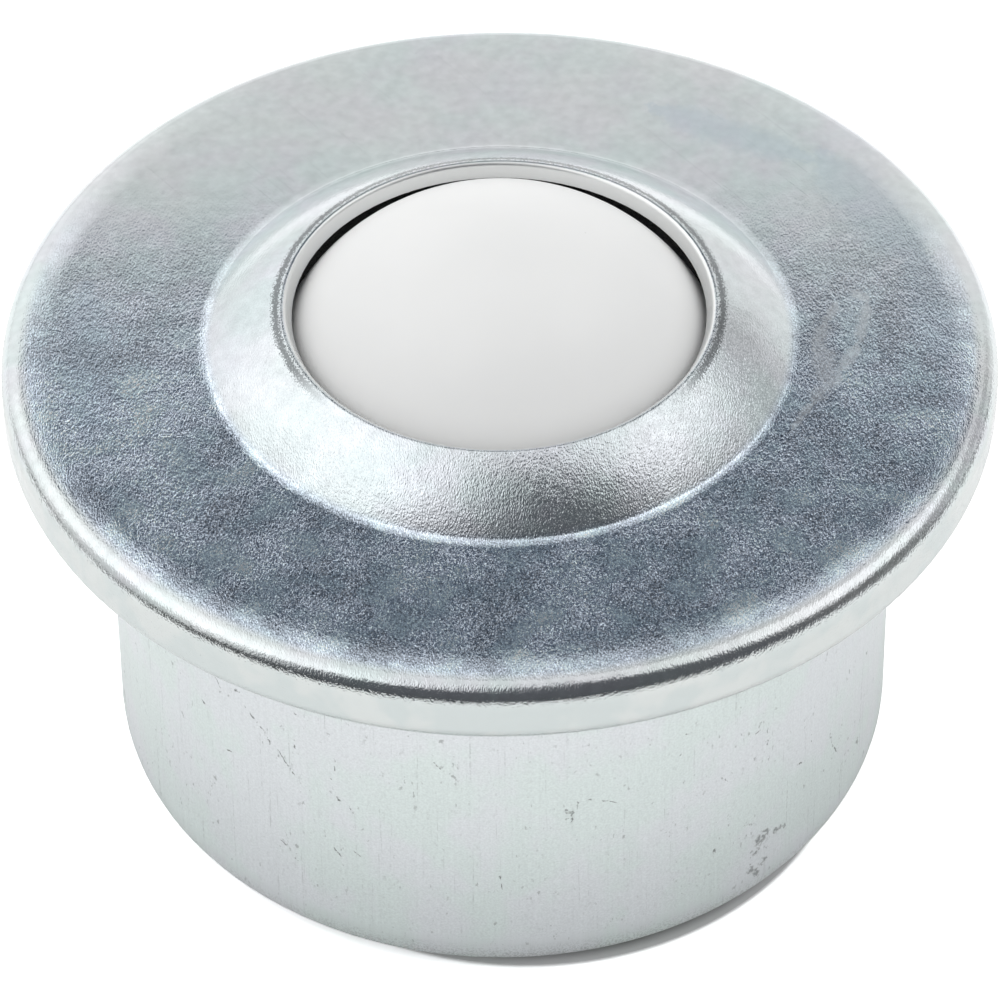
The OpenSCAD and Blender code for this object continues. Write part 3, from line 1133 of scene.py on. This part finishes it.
@dataclass
class Studio:
    """A pale floor with a painted shadow round the cup's foot, and a white room with soft panels
    and dark flags in it.
    """

    floor_half: float = 3.0
    floor_drop: float = 0.02 * MM
    floor_grey: float = 0.80
    floor_mirrored: float = 1.25
    floor_seen: float = 2.6
    painted_shadow_r: float = 14.66 * MM
    painted_shadow_shift: tuple[float, float] = (1.18 * MM, -2.52 * MM)
    painted_shadow_inner: float = 0.13
    painted_shadow_outer: float = 0.80
    room_level: float = 1.12
    room_evenness: float = 0.6
    panels: tuple[Panel, ...] = (
        Panel("left rear", -44, 28, 24, 16, grey(1.14), 16, 14),
        Panel("left side, low", -100, 26, 22, 12, grey(0.74), 26, 14),
        Panel("rear wall", 4, 16, 30, 13, grey(0.82), 12, 8),
        Panel("right rear", 44, 30, 24, 24, grey(0.94), 24, 18),
        Panel("overhead", 0, 200, 90, 14, grey(0.88), 10, 12),
        Panel("left softbox", -82, 34, 54, 14, grey(1.5), 12, 8),
        Panel("left softbox, low", -58, 20, 37, 10, grey(1.36), 10, 8),
        Panel("rear bridge", -42, 22, 59, 5, grey(1.22), 16, 5),
        Panel("rear shade", 14, 30, 60, 8, grey(0.51), 16, 6),
        Panel("right softbox", 72, 26, 52, 12, grey(1.36), 10, 8),
        Panel("right rear, high", 26, 12, 52, 10, grey(0.86), 12, 8),
        Panel("right rear flag", 58, 21, 28, 9, grey(0.5), 12, 8),
        Panel("right, low flag", 100, 22, 27, 17, grey(0.20), 20, 12),
        Panel("right horizon flag", 76, 26, 4, 5, grey(0.2), 12, 4),
        Panel("left horizon flag", -86, 30, 3, 5, grey(0.22), 14, 4),
        Panel("left, low flag", -122, 18, 8, 12, grey(0.10), 14, 8),
        Panel("front, low flag", 180, 52, 12, 15, grey(0.07), 20, 10),
        Panel("front flag", 171, 60, 45, 36, (0.120, 0.125, 0.135), 18, 10),
        Panel("left softbox, high", -115, 43, 69, 10, grey(1.36), 66, 8),
        Panel("rear window", 2, 26, 46.7, 5.4, (0.03, 0.05, 0.08), 8, 4.0),
    )

    def build(self, effects: Effects) -> None:
        """Makes the floor and the room's light.

        Args:
            effects: the shared groups.
        """
        self._floor()
        self._room(effects)

    def _floor(self) -> None:
        """A square floor: a grid over (u, v) from -1 to 1, at (u, v) times half its
        side. It is see-through from below. As the camera sees it, its colour holds a
        painted shadow round the cup's foot, a dark crescent at the front right."""
        u, v = np.meshgrid(np.linspace(-1, 1, 9), np.linspace(-1, 1, 9))
        height = np.full(u.size, -self.floor_drop)
        points = np.stack([u.ravel() * self.floor_half, v.ravel() * self.floor_half, height], 1)
        start = (np.arange(8)[:, None] * 9 + np.arange(8)).ravel()
        faces = np.stack([start, start + 1, start + 10, start + 9], 1)
        mesh = bpy.data.meshes.new("floor")
        mesh.from_pydata(points.tolist(), [], faces.tolist())
        floor = bpy.data.objects.new("floor", mesh)
        bpy.context.scene.collection.objects.link(floor)

        material = bpy.data.materials.new("floor")
        material.use_nodes = True
        g = Graph(material.node_tree)
        g.tree.nodes.clear()
        rays = g.put("ShaderNodeLightPath").outputs
        point = g.put("ShaderNodeTexCoord").outputs["Object"]
        # Painted shadow: as the camera sees it, the floor is dark within a circle whose centre is
        # moved to the front and right of the axis, so a dark crescent shows beyond the cup's foot
        # there; the floor's real shading is multiplied in as well.
        away = g.vector("DISTANCE", point, (*self.painted_shadow_shift, -self.floor_drop))
        painted_shadow = g.remap(
            away, self.painted_shadow_r - 1.1 * MM, self.painted_shadow_r, self.painted_shadow_inner, self.painted_shadow_outer
        )
        lit = g.remap(away, self.painted_shadow_r, self.painted_shadow_r + 0.3 * MM)
        seen = g.between(lit, painted_shadow, self.floor_seen)
        shown = g.most(rays["Is Camera Ray"], rays["Is Transmission Ray"])
        level = g.between(rays["Is Glossy Ray"], self.floor_grey, self.floor_mirrored)
        level = g.between(shown, level, seen)
        colour = g.join(level, level, level)
        surface = g.put("ShaderNodeBsdfDiffuse", {"Color": colour})
        clear = g.put("ShaderNodeBsdfTransparent")
        back = g.put("ShaderNodeNewGeometry").outputs["Backfacing"]
        mixed = g.put("ShaderNodeMixShader", {0: back, 1: surface.outputs[0], 2: clear.outputs[0]})
        g.put("ShaderNodeOutputMaterial", {0: mixed.outputs[0]})
        mesh.materials.append(material)

    def _room(self, effects: Effects) -> None:
        """The room as a function of direction: white, with each panel laid over it
        in turn where its mask is full. The camera sees plain white.

        Args:
            effects: the shared groups.
        """
        world = bpy.data.worlds.new("studio")
        world.use_nodes = True
        world.cycles.sampling_method = "NONE"
        bpy.context.scene.world = world
        g = Graph(world.node_tree)
        g.tree.nodes.clear()
        direction = g.put("ShaderNodeTexCoord").outputs["Generated"]
        x, y, z = g.split(direction)
        to_degrees = 180 / math.pi
        azimuth = g.times(g.math("ARCTAN2", x, y), to_degrees)
        elevation = g.times(g.math("ARCSINE", z), to_degrees)
        light: Value = grey(1.0)
        for panel in self.panels:
            mask = g.put("ShaderNodeGroup", {
                "Azimuth": azimuth, "Elevation": elevation,
                "Centre azimuth": panel.azimuth, "Half width": panel.half_width,
                "Centre elevation": panel.elevation, "Half height": panel.half_height,
                "Soft width": panel.soft_width, "Soft height": panel.soft_height,
            }, node_tree=effects.panel).outputs[0]
            light = g.blend(mask, light, panel.level)
        rays = g.put("ShaderNodeLightPath").outputs
        even = g.times(rays["Is Diffuse Ray"], self.room_evenness)
        light = g.blend(even, light, grey(1.0))
        strength = g.between(rays["Is Diffuse Ray"], 1.0, self.room_level)
        seen = g.most(rays["Is Camera Ray"], rays["Is Transmission Ray"])
        room = g.put("ShaderNodeBackground", {"Color": light, "Strength": strength})
        white = g.put("ShaderNodeBackground", {"Color": grey(1.0), "Strength": 1.0})
        mixed = g.put("ShaderNodeMixShader", {0: seen, 1: room.outputs[0], 2: white.outputs[0]})
        g.put("ShaderNodeOutputWorld", {0: mixed.outputs[0]})


@dataclass
class Viewpoint:
    """The camera: how far it stands from the flange's face, how high, how it is
    turned from looking straight at the face's centre, and its lens."""

    face_z: float = 22.928 * MM
    distance: float = 281.25 * MM
    elevation: float = 42.0626
    pan: float = 0.0085
    tilt: float = -1.4881
    roll: float = 0.5549
    lens: float = 224.68

    def build(self) -> None:
        """Makes the camera. Its axes are the rows right, up and forward of the
        straight view, turned by pan, then tilt, then roll."""
        e = math.radians(self.elevation)
        rise, level = math.sin(e), math.cos(e)
        stand = Vector((0, -level, rise)) * self.distance + Vector((0, 0, self.face_z))
        straight = Matrix(((1, 0, 0), (0, rise, level), (0, level, -rise)))
        turned = (
            Matrix.Rotation(math.radians(self.roll), 3, "Z")
            @ Matrix.Rotation(math.radians(self.tilt), 3, "X")
            @ Matrix.Rotation(math.radians(self.pan), 3, "Y")
            @ straight
        )
        right, up, forward = turned
        camera = bpy.data.objects.new("camera", bpy.data.cameras.new("camera"))
        camera.data.sensor_width = 36.0
        camera.data.lens = self.lens
        camera.data.clip_start = 0.01
        camera.data.clip_end = 20.0
        axes = Matrix((right, up, -forward)).transposed().to_4x4()
        camera.matrix_world = Matrix.Translation(stand) @ axes
        bpy.context.scene.collection.objects.link(camera)
        bpy.context.scene.camera = camera


def main() -> None:
    """Builds the scene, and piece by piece."""
    logging.basicConfig(level=logging.INFO, format="%(message)s")
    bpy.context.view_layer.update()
    bpy.context.scene.view_settings.view_transform = "Standard"
    Viewpoint().build()
    effects = Effects()
    Studio().build(effects)
    for part in (Housing(), LoadBall(), BearingBed()):
        log.info("%s: %d pieces dressed", type(part).__name__, part.build(effects))


if __name__ == "__main__":
    main()
